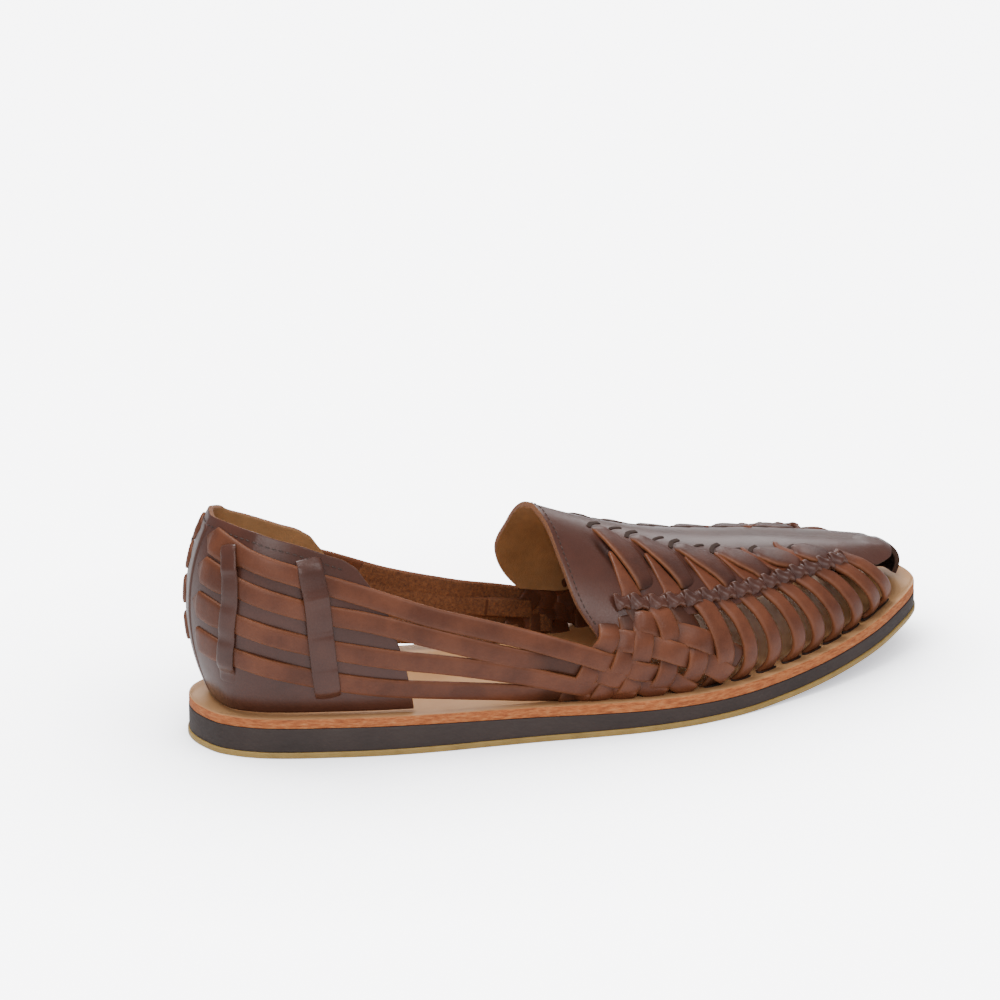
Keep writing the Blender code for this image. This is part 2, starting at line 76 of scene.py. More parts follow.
def smoothRows(table, at):
    # cubic pieces through the rows: each slope is the mean of its two chords, weighted by the other's length
    rows = np.asarray(table, float)
    x, y = rows[:, 0], rows[:, 1:]
    step = np.diff(x)
    chord = np.diff(y, axis=0) / step[:, None]
    slope = np.empty_like(y)
    slope[1:-1] = (chord[:-1] * step[1:, None] + chord[1:] * step[:-1, None]) / (step[1:] + step[:-1])[:, None]
    slope[0] = 1.5 * chord[0] - 0.5 * slope[1]
    slope[-1] = 1.5 * chord[-1] - 0.5 * slope[-2]
    at = np.clip(np.asarray(at, float), x[0], x[-1])
    i = np.clip(np.searchsorted(x, at, side="right") - 1, 0, len(x) - 2)
    h = step[i][..., None]
    t = ((at - x[i]) / step[i])[..., None]
    return (y[i] * (2 * t**3 - 3 * t**2 + 1) + slope[i] * h * (t**3 - 2 * t**2 + t)
            + y[i + 1] * (3 * t**2 - 2 * t**3) + slope[i + 1] * h * (t**3 - t**2))


def ease(t):
    # 3t^2 - 2t^3 between 0 and 1
    t = np.clip(t, 0, 1)
    return t * t * (3 - 2 * t)


def unit(vectors):
    # each vector over its length
    return vectors / np.linalg.norm(vectors, axis=-1, keepdims=True)


def lengthSteps(points):
    # how far along the line of points each one lies
    return np.r_[0, np.cumsum(np.linalg.norm(np.diff(points, axis=0), axis=1))]


def lengthShare(x):
    # 0 at the heel end of the sole and 1 at the toe end
    return (np.asarray(x, float) - sole["heelBack"]) / sole["length"]


def turnOf(x):
    # share of the way round from heel to toe, even in angle: the arc cosine of 1 - 2 x / length, over pi
    return np.arccos(np.clip(1 - 2 * lengthShare(x), -1, 1)) / np.pi


edgeByTurn = [(turnOf(x), lateral, medial) for x, lateral, medial in sole["edge"]]
lastByTurn = [(turnOf(row[0]),) + row[1:] for row in last]


def outline(side, turn):
    # the sole's edge: x is back + length / 2 * (1 - cos(pi * turn)), and y comes from the table of edges
    row = smoothRows(edgeByTurn, turn)
    x = sole["heelBack"] + sole["length"] / 2 * (1 - np.cos(np.pi * np.asarray(turn, float)))
    return np.stack([x, np.where(np.asarray(side) < 0, row[..., 0], row[..., 1])], -1)


def ringPoint(ring):
    # ring is side * turn, so it runs right round the sole from -1 to 1 and meets itself at the toe
    ring = (np.asarray(ring, float) + 1) % 2 - 1
    return outline(np.where(ring < 0, -1, 1), np.abs(ring))


def outward(side, turn):
    # the outline's tangent, turned a quarter so that it points away from the sole
    ring, step = np.asarray(side) * np.asarray(turn), 0.004
    run = unit(ringPoint(ring + step) - ringPoint(ring - step))
    return np.stack([-run[..., 1], run[..., 0]], -1)


def floorLift(x):
    # spring * t^power from the ball on
    t = np.clip((lengthShare(x) - sole["springStart"]) / (1 - sole["springStart"]), 0, None)
    return sole["toeSpring"] * t**sole["springPower"]


def seatHeight(x):
    # the toe spring, and on it the stack of layers, which eases from the heel's height to the ball's
    share = ease((lengthShare(x) - sole["stackFrom"]) / sole["stackRun"])
    stack = sole["heelStack"] + (sole["ballStack"] - sole["heelStack"]) * share
    return floorLift(x) + stack


def bedBottom(x):
    # the seat less the board's thickness, which eases from the heel's to the ball's
    share = ease(lengthShare(x) / sole["bedRun"])
    return seatHeight(x) - sole["bedHeel"] - (sole["bedBall"] - sole["bedHeel"]) * share


def skin(side, turn, rise):
    # a Bezier curve of degree 3 from the footbed (rise 0) to the crown line (rise 1), for each place round the sole
    side, turn, rise = np.broadcast_arrays(side, turn, rise)
    out = outward(side, turn)
    inset = sole["heelInset"] + (sole["seatInset"] - sole["heelInset"]) * ease(turn / sole["insetEnd"])
    xy = outline(side, turn) - inset[..., None] * out
    foot = np.concatenate([xy, (seatHeight(xy[..., 0]) + sole["upperGap"])[..., None]], -1)
    row = smoothRows(lastByTurn, turn)
    wall = np.where((side < 0)[..., None], row[..., 3:7], row[..., 7:11])
    low = foot + np.concatenate([out * wall[..., 0:1], wall[..., 1:2]], -1)
    high = row[..., 0:3] + np.concatenate([out * wall[..., 2:3], -wall[..., 3:4]], -1)
    t = rise[..., None]
    return (1 - t)**3 * foot + 3 * (1 - t)**2 * t * low + 3 * (1 - t) * t**2 * high + t**3 * row[..., 0:3]


def skinNormal(side, turn, rise):
    # the cross product of the skin's two slopes, pointing out of the shoe
    side, turn, rise = np.broadcast_arrays(side, turn, rise)
    step = 0.003
    rise = np.clip(rise, step, 1 - step)
    run = skin(side, np.clip(turn + step, 0, 1), rise) - skin(side, np.clip(turn - step, 0, 1), rise)
    up = skin(side, turn, rise + step) - skin(side, turn, rise - step)
    return unit(np.cross(run, up) * -side[..., None])


def along(places, count):
    # a smooth curve through places (station, rise), in even steps of length
    places = np.asarray(places, float)
    gap = lengthSteps(places * (1.0, riseLength))
    return smoothRows(np.c_[gap, places], np.linspace(0, gap[-1], count))


def gridFaces(rows, columns, closed):
    # the four corners of each cell, counted row by row; closed joins the last column to the first
    i, j = np.meshgrid(np.arange(rows - 1), np.arange(columns if closed else columns - 1), indexing="ij")
    k = (j + 1) % columns
    return np.stack([i * columns + j, (i + 1) * columns + j, (i + 1) * columns + k, i * columns + k], -1).reshape(-1, 4)


def makePiece(name, patches, finishes, replaced=(), turned=False):
    # patches are (points, closed, {attribute: values}, finish number); points is a grid of places in millimetres
    # attributes are shade, painted shade where the hide lies in gaps or low under crossings, cut, where it shows its
    # raw edge, inside, painted shade inside the toe, and side
    points, faces, numbers, start = [], [], [], 0
    fields = {key: [] for patch in patches for key in patch[2]}
    for grid, closed, values, number in patches:
        rows, columns = grid.shape[:2]
        face = gridFaces(rows, columns, closed) + start
        points.append(grid.reshape(-1, 3))
        faces.append(face)
        numbers.append(np.full(len(face), number))
        for key in fields:
            fields[key].append(np.broadcast_to(values.get(key, 0.0), (rows, columns)).reshape(-1))
        start += rows * columns
    mesh = bpy.data.meshes.new(name)
    mesh.from_pydata(((np.concatenate(points) - sole["origin"]) * 0.001).tolist(), [],
                     np.concatenate(faces).tolist())
    for key, values in fields.items():
        field = mesh.attributes.new(key, "FLOAT", "POINT")
        field.data.foreach_set("value", np.concatenate(values).astype(np.float32))
    for finish in finishes:
        mesh.materials.append(finish)
    mesh.polygons.foreach_set("material_index", np.concatenate(numbers).astype(np.int32))
    # points that fall together at seams and poles are joined
    weld = 0.000002
    made = bmesh.new()
    made.from_mesh(mesh)
    bmesh.ops.remove_doubles(made, verts=made.verts, dist=weld)
    bmesh.ops.dissolve_degenerate(made, edges=made.edges, dist=weld / 2)
    if turned:
        bmesh.ops.recalc_face_normals(made, faces=made.faces)
    made.to_mesh(mesh)
    made.free()
    mesh.polygons.foreach_set("use_smooth", np.ones(len(mesh.polygons), bool))
    piece = bpy.data.objects.new(name, mesh)
    bpy.context.scene.collection.objects.link(piece)
    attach(piece, "root")
    if replaced:
        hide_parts(*replaced)
    print("piece", name, len(mesh.polygons), "faces")
    return piece


def brownPiece(name, patches, finish):
    # a piece of the brown leather, in one finish
    return makePiece(name, patches, [finishes[finish]])


def wall(piece, form):
    # the grid is the outer face: the wall grows inwards, its inner face takes finish 1 and its cut edge finish 2
    shell = piece.modifiers.new("Wall", "SOLIDIFY")
    shell.thickness = form["thickness"] * 0.001
    shell.offset = -1.0
    shell.use_even_offset = False
    shell.material_offset = 1
    shell.material_offset_rim = 2
    soft = piece.modifiers.new("Soft edge", "BEVEL")
    soft.width = form["bevel"] * 0.001
    soft.segments = 2
    soft.limit_method = "ANGLE"
    soft.angle_limit = 1.0


def strip(side, places, form, lift, count, crown=0.25, twist=0.0, taper=1.0, raw=(1.0, 1.0), under=0.0):
    # a rounded section carried along the skin: half the width across, half the thickness up, and a crown of
    # crown * (1 - a^2) on top; the ends shrink to a point along a quarter ellipse; raw says how much of the
    # cut colour the front and the rear edge take, and under paints shade on it where it lies low under crossings.
    # The section runs over the top from one edge to the other and back below.
    width, thickness, edge, endRound = form["width"], form["thickness"], 0.32, 0.5
    at = along(places, count)
    turn, rise = turnOf(at[:, 0]), at[:, 1]
    normal = skinNormal(side, turn, rise)
    middle = skin(side, turn, rise) + normal * np.broadcast_to(lift, count)[:, None]
    run = unit(np.gradient(middle, axis=0))
    across = unit(np.cross(normal, run))
    up = np.cross(run, across)
    angle = np.broadcast_to(twist, count)[:, None]
    across, up = across * np.cos(angle) + up * np.sin(angle), up * np.cos(angle) - across * np.sin(angle)
    top = np.linspace(-1, 1, 9)[1:-1] * (1 - 2 * edge / width)
    a = np.r_[-1, -1 + 0.25 * edge, top, 1 - 0.25 * edge, 1, 1, 1 - 0.25 * edge, -top[::2], -1 + 0.25 * edge, -1]
    h = np.r_[0.5, 0.86, np.ones(7), 0.86, 0.5, -0.5, -0.86, -np.ones(4), -0.86, -0.5]
    cut = np.r_[1, 0.4, 0.05, np.zeros(5), 0.05, 0.4, 1, 1, 0.8, np.full(4, 0.5), 0.8, 1]
    cut = cut * np.where(a * side > 0, raw[1], raw[0])
    swell = np.where(h > 0.9, crown * (1 - a * a), 0)
    length = lengthSteps(middle)
    near = np.minimum(length, length[-1] - length)
    shrink = np.sqrt(np.clip(1 - (1 - np.clip(near / endRound, 0, 1))**2, 0, 1))
    half = np.broadcast_to(width * np.asarray(taper), count) / 2 * (0.75 + 0.25 * shrink)
    half = np.where(near <= 0, 0, half)
    tall = np.where(near <= 0, 0, 1) * shrink
    grid = (middle[:, None] + across[:, None] * (half[:, None] * a)[..., None]
            + up[:, None] * (tall[:, None] * (h * thickness / 2 + swell))[..., None])
    # painted shade where the strip dips low under the strips it crosses
    shade = under * np.clip(0.3 - np.broadcast_to(lift, count), 0, 1)
    return grid, True, {"cut": cut[None], "shade": shade[:, None]}, 0


class Field:
    # a socket that adds Math nodes when it is reckoned with
    def __init__(self, finish, socket):
        self.finish, self.socket = finish, socket

    def reckon(self, operation, first, second):
        return self.finish.node("ShaderNodeMath", {"operation": operation}, {0: first, 1: second})

    def __add__(self, other):
        return self.reckon("ADD", self, other)

    def __mul__(self, other):
        return self.reckon("MULTIPLY", self, other)

    __radd__ = __add__
    __rmul__ = __mul__


class Finish:
    # a material with its Principled shader and the nodes added to it
    def __init__(self, name, look):
        self.material = bpy.data.materials.new(name)
        self.material.use_nodes = True
        self.tree = self.material.node_tree
        self.shader = self.tree.nodes["Principled BSDF"]
        for key, value in look.items():
            self.shader.inputs[key].default_value = value
        self.place = self.node("ShaderNodeTexCoord", out="Object")

    def node(self, kind, settings=None, values=None, out=0):
        made = self.tree.nodes.new(kind)
        for key, value in (settings or {}).items():
            if key == "stops":
                ramp = made.color_ramp
                while len(ramp.elements) < len(value):
                    ramp.elements.new(0.5)
                for element, (place, colour) in zip(ramp.elements, value):
                    element.position, element.color = place, (*colour, 1)
            else:
                setattr(made, key, value)
        for key, value in (values or {}).items():
            if isinstance(value, Field):
                self.tree.links.new(value.socket, made.inputs[key])
            else:
                made.inputs[key].default_value = value
        return Field(self, made.outputs[out])

    def noise(self, scale, detail=2.0, rough=0.5, stretch=None, out=0):
        # cells per metre; stretch multiplies the place, so a large number gives short marks that way
        place = self.place
        if stretch:
            place = self.node("ShaderNodeMapping", None, {"Vector": place, "Scale": stretch})
        return self.node("ShaderNodeTexNoise", None,
                         {"Vector": place, "Scale": scale, "Detail": detail, "Roughness": rough}, out)

    def pores(self, scale):
        # distance to the nearest cell middle: leather's pebbled grain
        return self.node("ShaderNodeTexVoronoi", None, {"Vector": self.place, "Scale": scale})

    def value(self, name):
        # a number kept at the mesh's points: shade, cut, inside or side
        return self.node("ShaderNodeAttribute", {"attribute_name": name}, None, "Fac")

    def ramp(self, field, stops):
        return self.node("ShaderNodeValToRGB", {"stops": stops}, {0: field}, "Color")

    def span(self, field, low, high):
        # 0 at low and 1 at high
        return self.node("ShaderNodeMapRange", {"clamp": True}, {0: field, 1: low, 2: high, 3: 0.0, 4: 1.0})

    def mix(self, share, first, second):
        def four(value):
            return value if isinstance(value, Field) else (*value, 1.0)
        return self.node("ShaderNodeMix", {"data_type": "RGBA"}, {0: share, 6: four(first), 7: four(second)}, 2)

    def bump(self, height, strength, distance):
        return self.node("ShaderNodeBump", None, {"Strength": strength, "Distance": distance, "Height": height})

    def feed(self, **sockets):
        for key, field in sockets.items():
            self.tree.links.new(field.socket, self.shader.inputs[key.replace("_", " ")])
        return self.material


# Colours are linear
leatherLook = {
    # the darkest colour is painted shade: it darkens the gaps behind the bands, the strips under crossings and the
    # inside of the toe
    "dark": (0.056, 0.019, 0.012), "darkWarm": (0.088, 0.029, 0.017), "paintedShade": (0.016, 0.006, 0.004),
    "strip": (0.105, 0.031, 0.014), "stripLight": (0.165, 0.052, 0.023), "raw": (0.30, 0.105, 0.036),
}


def darkLeather():
    # smooth dressed hide: two colours by a wide noise, small pores in the bump, painted shade in the sunken places
    made = Finish("darkDressedLeather", {"Coat Weight": 0.16, "Coat Roughness": 0.28,
                                         "Specular IOR Level": 0.42})
    cloud = made.noise(35.0, 4.0, 0.6)
    grain = made.pores(1500.0)
    fine = made.noise(2600.0, 2.0, 0.5)
    colour = made.mix(made.span(cloud, 0.35, 0.7), leatherLook["dark"], leatherLook["darkWarm"])
    colour = made.mix(made.value("shade"), colour, leatherLook["paintedShade"])
    colour = made.mix(made.value("cut"), colour, leatherLook["raw"])
    rough = 0.27 + 0.14 * made.noise(160.0, 3.0) + 0.3 * made.value("shade")
    return made.feed(Base_Color=colour, Roughness=rough, Normal=made.bump(grain * 0.6 + fine * 0.4, 0.22, 0.00025))


def stripLeather(name, base, light, cutShare):
    # the same hide cut in strips: lighter and darker by a wide noise, raw orange at the cut edges, fine lines along it
    made = Finish(name, {"Specular IOR Level": 0.34})
    cloud = made.noise(70.0, 4.0, 0.62)
    grain = made.pores(1700.0)
    lines = made.noise(420.0, 3.0, 0.6, (1.0, 1.0, 0.3))
    colour = made.mix(made.span(cloud, 0.36, 0.68), base, light)
    # painted shade where the strip lies low under crossings, by the shade attribute
    colour = made.mix(made.value("shade"), colour, leatherLook["paintedShade"])
    fray = made.span(made.noise(900.0, 3.0), 0.2, 0.75)
    colour = made.mix(made.value("cut") * (0.55 + 0.45 * fray) * cutShare, colour, leatherLook["raw"])
    rough = 0.3 + 0.2 * lines + 0.25 * made.value("cut")
    return made.feed(Base_Color=colour, Roughness=rough,
                     Normal=made.bump(grain * 0.5 + lines * 0.5, 0.25, 0.0003))


def rawEdge():
    # the cut edge of a hide: orange fibres in short upright marks
    made = Finish("rawCutEdge", {"Roughness": 0.8})
    fibre = made.noise(1400.0, 3.0, 0.7, (1.0, 1.0, 2.5))
    colour = made.ramp(fibre, ((0.3, (0.12, 0.045, 0.022)), (0.7, (0.30, 0.125, 0.05))))
    # painted shade inside the toe, by the inside attribute
    colour = made.mix(made.value("inside") * 0.8, colour, leatherLook["paintedShade"])
    return made.feed(Base_Color=colour, Normal=made.bump(fibre, 0.5, 0.0003))


def lining():
    # flesh side of tan hide: a loose nap in the bump and cloudy colour
    made = Finish("tanLining", {"Roughness": 0.72})
    cloud = made.noise(60.0, 4.0, 0.6)
    nap = made.noise(1500.0, 4.0, 0.7)
    colour = made.mix(made.span(cloud, 0.3, 0.7), (0.30, 0.155, 0.062), (0.43, 0.235, 0.10))
    # painted shade inside the toe, by the inside attribute
    colour = made.mix(made.value("inside"), colour, leatherLook["paintedShade"])
    return made.feed(Base_Color=colour, Normal=made.bump(nap, 0.35, 0.0003))


def fleshSide():
    # the rough back of the straps: a coarse nap, light where it stands up
    made = Finish("orangeFleshSide", {"Roughness": 0.9})
    nap = made.noise(900.0, 5.0, 0.75)
    colour = made.ramp(nap, ((0.3, (0.10, 0.035, 0.014)), (0.72, (0.30, 0.12, 0.045))))
    return made.feed(Base_Color=colour, Normal=made.bump(nap, 0.7, 0.0006))


def bedLeather():
    # vegetable-tanned board: a matt top with faint fibre, and a side where the layers show as frayed level lines
    made = Finish("naturalBedLeather", {"Roughness": 0.6})
    cloud = made.noise(28.0, 4.0, 0.6)
    speck = made.noise(700.0, 4.0, 0.7)
    top = made.mix(made.span(cloud, 0.3, 0.72), (0.58, 0.32, 0.145), (0.48, 0.24, 0.10))
    top = made.mix(made.span(speck, 0.62, 0.8) * 0.25, top, (0.30, 0.13, 0.05))
    layer = made.noise(260.0, 5.0, 0.7, (1.0, 1.0, 5.0))
    side = made.ramp(layer, ((0.28, (0.22, 0.055, 0.014)), (0.5, (0.46, 0.135, 0.036)), (0.75, (0.62, 0.27, 0.10))))
    colour = made.mix(made.value("side"), top, side)
    rough = 0.5 + 0.1 * cloud + 0.25 * made.value("side")
    height = speck * 0.35 + layer * made.value("side")
    return made.feed(Base_Color=colour, Roughness=rough, Normal=made.bump(height, 0.4, 0.0006))


def darkMidsole():
    # firm foam, cut straight: level streaks in the roughness and the bump
    made = Finish("darkMidsole", {"Roughness": 0.7})
    streak = made.noise(300.0, 4.0, 0.65, (1.0, 1.0, 3.0))
    cloud = made.noise(40.0, 3.0)
    colour = made.mix(made.span(cloud, 0.3, 0.7), (0.030, 0.019, 0.016), (0.046, 0.030, 0.025))
    return made.feed(Base_Color=colour, Roughness=0.55 + 0.25 * streak, Normal=made.bump(streak, 0.3, 0.0004))


def amberRubber():
    # clear yellow rubber: a little light goes in, and a fine cell pattern gives it grip
    made = Finish("amberRubber", {"Roughness": 0.5, "Subsurface Weight": 0.15,
                                  "Subsurface Radius": (0.004, 0.002, 0.001)})
    cloud = made.noise(120.0, 4.0, 0.6)
    tread = made.node("ShaderNodeTexVoronoi", {"feature": "DISTANCE_TO_EDGE"},
                      {"Vector": made.place, "Scale": 260.0})
    colour = made.mix(made.span(cloud, 0.3, 0.7), (0.30, 0.185, 0.045), (0.42, 0.27, 0.075))
    return made.feed(Base_Color=colour, Roughness=0.42 + 0.2 * cloud,
                     Normal=made.bump(made.span(tread, 0.0, 0.2) * 0.4 + cloud * 0.3, 0.25, 0.0004))


def waxedThread():
    # dark thread, its twist a fine noise
    made = Finish("waxedThread", {"Roughness": 0.5})
    twist = made.noise(2500.0)
    return made.feed(Base_Color=made.mix(twist, (0.022, 0.010, 0.007), (0.065, 0.030, 0.020)),
                     Normal=made.bump(twist, 0.4, 0.0002))


def slotShadow():
    # the shade in a slit
    made = Finish("slotShadow", {"Roughness": 0.9})
    return made.feed(Base_Color=made.mix(made.noise(800.0, 3.0), (0.018, 0.008, 0.005), (0.05, 0.022, 0.012)))


finishes = {
    "dark": darkLeather(),
    "strip": stripLeather("brownStripLeather", leatherLook["strip"], leatherLook["stripLight"], 0.6),
    "band": stripLeather("brownBandLeather", leatherLook["dark"], leatherLook["darkWarm"], 1.0),
    "raw": rawEdge(), "lining": lining(), "flesh": fleshSide(), "bed": bedLeather(), "midsole": darkMidsole(),
    "rubber": amberRubber(), "thread": waxedThread(), "slot": slotShadow(),
}
print("finishes made")


# Inset from the sole's edge and radius of the corners, the dish worn into the board, half the gap between layers
layers = {"rubber": (0.0, 0.5), "midsole": (0.5, 0.25), "bed": (0.6, 0.55), "bedDish": 0.9, "halfGap": 0.05}


def soleLayer(name, finish, form, bottom, top, dish=0.0):
    # each section across the sole is a closed loop: the rounded side, the top in even steps, the other side, the
    # bottom. A corner of radius soft follows a quarter circle.
    inset, soft = form
    turn = np.linspace(0, 1, 181)
    angle = np.linspace(0, np.pi / 2, 5)
    moveIn = np.r_[soft * (1 - np.sin(angle)), 0, soft * (1 - np.cos(angle))]
    share = np.r_[0 * angle, 0.5, 0 * angle + 1]
    drop = np.r_[soft * (1 - np.cos(angle)), 0, -soft * (1 - np.sin(angle))]
    sides = []
    for side in (-1, 1):
        edge, out = outline(side, turn), outward(side, turn)
        ring = edge[:, None] - (inset + moveIn)[None, :, None] * out[:, None]
        low, high = bottom(ring[..., 0]), top(ring[..., 0])
        sides.append(np.concatenate([ring, (low * (1 - share) + high * share + drop)[..., None]], -1))
    count = 40
    t = np.linspace(0, 1, count + 2)[1:-1][None, :, None]
    upper = sides[0][:, -1:] * (1 - t) + sides[1][:, -1:] * t
    # the dish fades out towards both sides and both ends
    across = t[..., 0]
    lengthways = (ease(turn / sole["dishEnd"]) * ease((1 - turn) / sole["dishEnd"]))[:, None]
    worn = dish * ease(across / sole["dishSide"]) * ease((1 - across) / sole["dishSide"]) * lengthways
    upper[..., 2] = top(upper[..., 0]) - worn
    under = sides[1][:, :1] * (1 - t) + sides[0][:, :1] * t
    under[..., 2] = bottom(under[..., 0])
    grid = np.concatenate([sides[0], upper, sides[1][:, ::-1], under], 1)
    side = np.r_[np.ones(8), 0.6, 0.15, 0.0, np.zeros(count), 0.0, 0.15, 0.6, np.ones(8), np.ones(count)]
    return makePiece(name, [(grid, True, {"side": side[None]}, 0)], [finish], (name.split("_")[0],), True)


print("sole")
soleLayer("outsole_rubber", finishes["rubber"], layers["rubber"], floorLift,
          lambda x: floorLift(x) + sole["rubber"])
soleLayer("midsole_foam", finishes["midsole"], layers["midsole"],
          lambda x: floorLift(x) + sole["rubber"] + layers["halfGap"], lambda x: bedBottom(x) - layers["halfGap"])
soleLayer("footbed_board", finishes["bed"], layers["bed"], bedBottom, seatHeight,
          layers["bedDish"])

# Vamp. Places on the skin are (station, rise); rise 0 is the footbed and 1 the crown line.
vamp = {
    "thickness": 2.0, "bevel": 0.45, "rows": 231, "columns": 121, "rowPower": 1.6,
    # rise, station of the throat on the lateral and on the medial side
    "throat": ((0.20, 147.0, 140.0), (0.30, 145.0, 133.0), (0.42, 141.0, 130.0), (0.60, 141.0, 136.0),
               (0.80, 142.5, 140.0), (1.00, 141.0, 141.0)),
    # share of the way from throat to toe, rise of the lower edge on the lateral and on the medial side
    "edge": ((0.00, 0.290, 0.220), (0.05, 0.310, 0.200), (0.13, 0.410, 0.185), (0.20, 0.405, 0.250),
             (0.40, 0.445, 0.420), (0.60, 0.525, 0.520), (0.75, 0.590, 0.590), (0.80, 0.625, 0.600),
             (0.84, 0.585, 0.560), (0.88, 0.500, 0.300), (0.92, 0.495, 0.060), (0.95, 0.495, 0.010),
             (0.985, 0.520, 0.010), (1.00, 0.540, 0.020)),
    # station of the toe end, where the two walls meet over the open toe, and the rise of that seam's top
    "toeEnd": 292.0, "seamTop": 0.93, "seamShare": 0.75, "seamFrom": 0.96, "seamRun": 0.04,
    # shares of the length where the crown is flattened and where the rows run straight, and how far across
    "flatHalf": 0.12, "flatFrom": 0.92, "flatRun": 0.05, "straightFrom": 0.965, "straightHalf": 0.4,
    "straightFade": 0.2,
    # where painted shade darkens the inside towards the toe, and how deep the painted shade is in the gaps behind the
    # bands
    "insideFrom": 0.72, "insideRun": 0.16, "gapShade": 0.75,
    # the lobes' line on the wall: station, rise
    "lobes": ((155.5, 0.452), (161.0, 0.462), (168.0, 0.462), (181.0, 0.482), (200.0, 0.510), (220.0, 0.545),
              (240.0, 0.588), (261.0, 0.635)),
    "lobe": {"count": 15, "width": 6.8, "thickness": 2.2, "lift": 0.45, "rock": 0.5, "swell": 0.12},
    "gapDepth": 1.3, "gapHalf": 2.6, "gapShift": 1.6,
}
# Bands drawn out of the slits. Columns: the rear edge's head station and rise, its foot station and rise
bands = {
    "places": ((160.8, 0.890, 167.6, 0.505), (174.6, 0.860, 183.9, 0.525), (189.8, 0.815, 202.0, 0.525),
               (205.6, 0.785, 219.2, 0.555), (220.9, 0.755, 235.5, 0.60), (237.9, 0.745, 250.5, 0.64)),
    "smallSlits": (((169.4, 0.884), (176.1, 0.934)), ((183.9, 0.829), (191.2, 0.889)),
                   ((200.0, 0.805), (205.3, 0.829)), ((215.8, 0.776), (220.2, 0.792)),
                   ((234.0, 0.763), (237.4, 0.767))),
    # share of the way down, share of the width
    "taper": ((0.0, 0.34), (0.15, 0.62), (0.4, 1.0), (0.6, 0.95), (0.8, 0.76), (1.0, 0.62)),
    "width": 12.4, "thickness": 1.7, "tilt": 0.17, "steps": 44,
    # lift along the band, how much lower it starts on the medial side, and how deep its head and foot go
    "lift": 0.3, "medialDrop": 0.5, "headSink": 1.5, "footSink": 1.2, "endShare": 0.12,
    # the slit forms are thin dark arcs of painted shadow
    "slit": {"width": 1.9, "thickness": 0.5, "lift": 0.05}, "smallSlit": {"width": 1.3, "thickness": 0.5},
    # the strip under the band's foot, which shows behind it
    "under": {"width": 8.6, "thickness": 1.4, "lift": -0.15, "steps": 24},
}


def bandLine(row, rise):
    # station of a band's rear edge at a rise: straight from head to foot
    head, headRise, foot, footRise = row
    return head + (foot - head) * np.clip((headRise - rise) / (headRise - footRise), 0, 1)


def vampGrid():
    # rows lie closer together towards the toe: share = 1 - (1 - u)^power
    share = 1 - (1 - np.linspace(0, 1, vamp["rows"])[:, None])**vamp["rowPower"]
    across = np.linspace(-1, 1, vamp["columns"])[None, :]
    low = smoothRows(vamp["edge"], share[:, 0])
    rise = 1 - (1 - np.where(across < 0, low[:, :1], low[:, 1:])) * np.abs(across)
    # at the tip both walls take the same rises down to the lateral edge, so that they meet in one seam; the
    # medial wall goes on below it
    ends, joined = vamp["edge"][-1], vamp["seamShare"]
    seam = vamp["seamTop"] - (vamp["seamTop"] - ends[1]) * np.minimum(np.abs(across) / joined, 1)
    below = np.clip((np.abs(across) - joined) / (1 - joined), 0, 1)
    seam = seam - np.where(across > 0, (ends[1] - ends[2]) * below, 0)
    rise = rise + (seam - rise) * ease((share - vamp["seamFrom"]) / vamp["seamRun"])
    throat = smoothRows(vamp["throat"], rise)
    start = np.where(across < 0, throat[..., 0], throat[..., 1])
    station = start + (vamp["toeEnd"] - start) * share
    side = np.where(across < 0, -1.0, 1.0)
    grid = skin(side, turnOf(station), rise)
    # behind each band the wall is pressed in: depth * exp(-(distance / half)^2) within the band's reach
    sunk = np.zeros_like(rise)
    for row in bands["places"]:
        reach = ease((rise - row[3] + 0.02) / 0.05) * ease((row[1] - 0.08 - rise) / 0.08)
        away = station - bandLine(row, rise) + vamp["gapShift"]
        sunk = np.maximum(sunk, reach * np.exp(-(away / vamp["gapHalf"])**2))
    normal = np.nan_to_num(skinNormal(side, turnOf(station), rise))
    grid = grid - normal * (vamp["gapDepth"] * sunk)[..., None]
    # near the tip the crown line turns back on itself, so there the rows run straight from side to side
    middle = np.flatnonzero(np.abs(across[0]) < vamp["flatHalf"])
    t = np.linspace(0, 1, len(middle))[None, :, None]
    flat = grid[:, middle[:1]] * (1 - t) + grid[:, middle[-1:]] * t
    part = ease((share - vamp["flatFrom"]) / vamp["flatRun"])[..., None]
    grid[:, middle] = grid[:, middle] * (1 - part) + flat * part
    # the last rows run straight to the seam: row + (seam - row) * u for the upper half of the walls
    ending = np.flatnonzero(share[:, 0] > vamp["straightFrom"])
    first = ending[0]
    u = ((share[ending] - share[first]) / (1 - share[first]))[..., None]
    near = (1 - ease((np.abs(across) - vamp["straightHalf"]) / vamp["straightFade"]))[..., None]
    straight = grid[first] + (grid[-1] - grid[first]) * u
    grid[ending] = grid[ending] * (1 - near) + straight * near
    return grid, sunk, share


print("vamp")
grid, sunk, share = vampGrid()
# painted shade: the lining and the cut edge grow dark inside the toe end
inside = ease((share - vamp["insideFrom"]) / vamp["insideRun"])
# painted shade in the pressed-in gaps behind the bands
piece = makePiece("vamp", [(grid, False, {"shade": vamp["gapShade"] * sunk, "cut": 0.0, "inside": inside}, 0)],
                  [finishes["dark"], finishes["lining"], finishes["raw"]], ("upper",))
wall(piece, vamp)

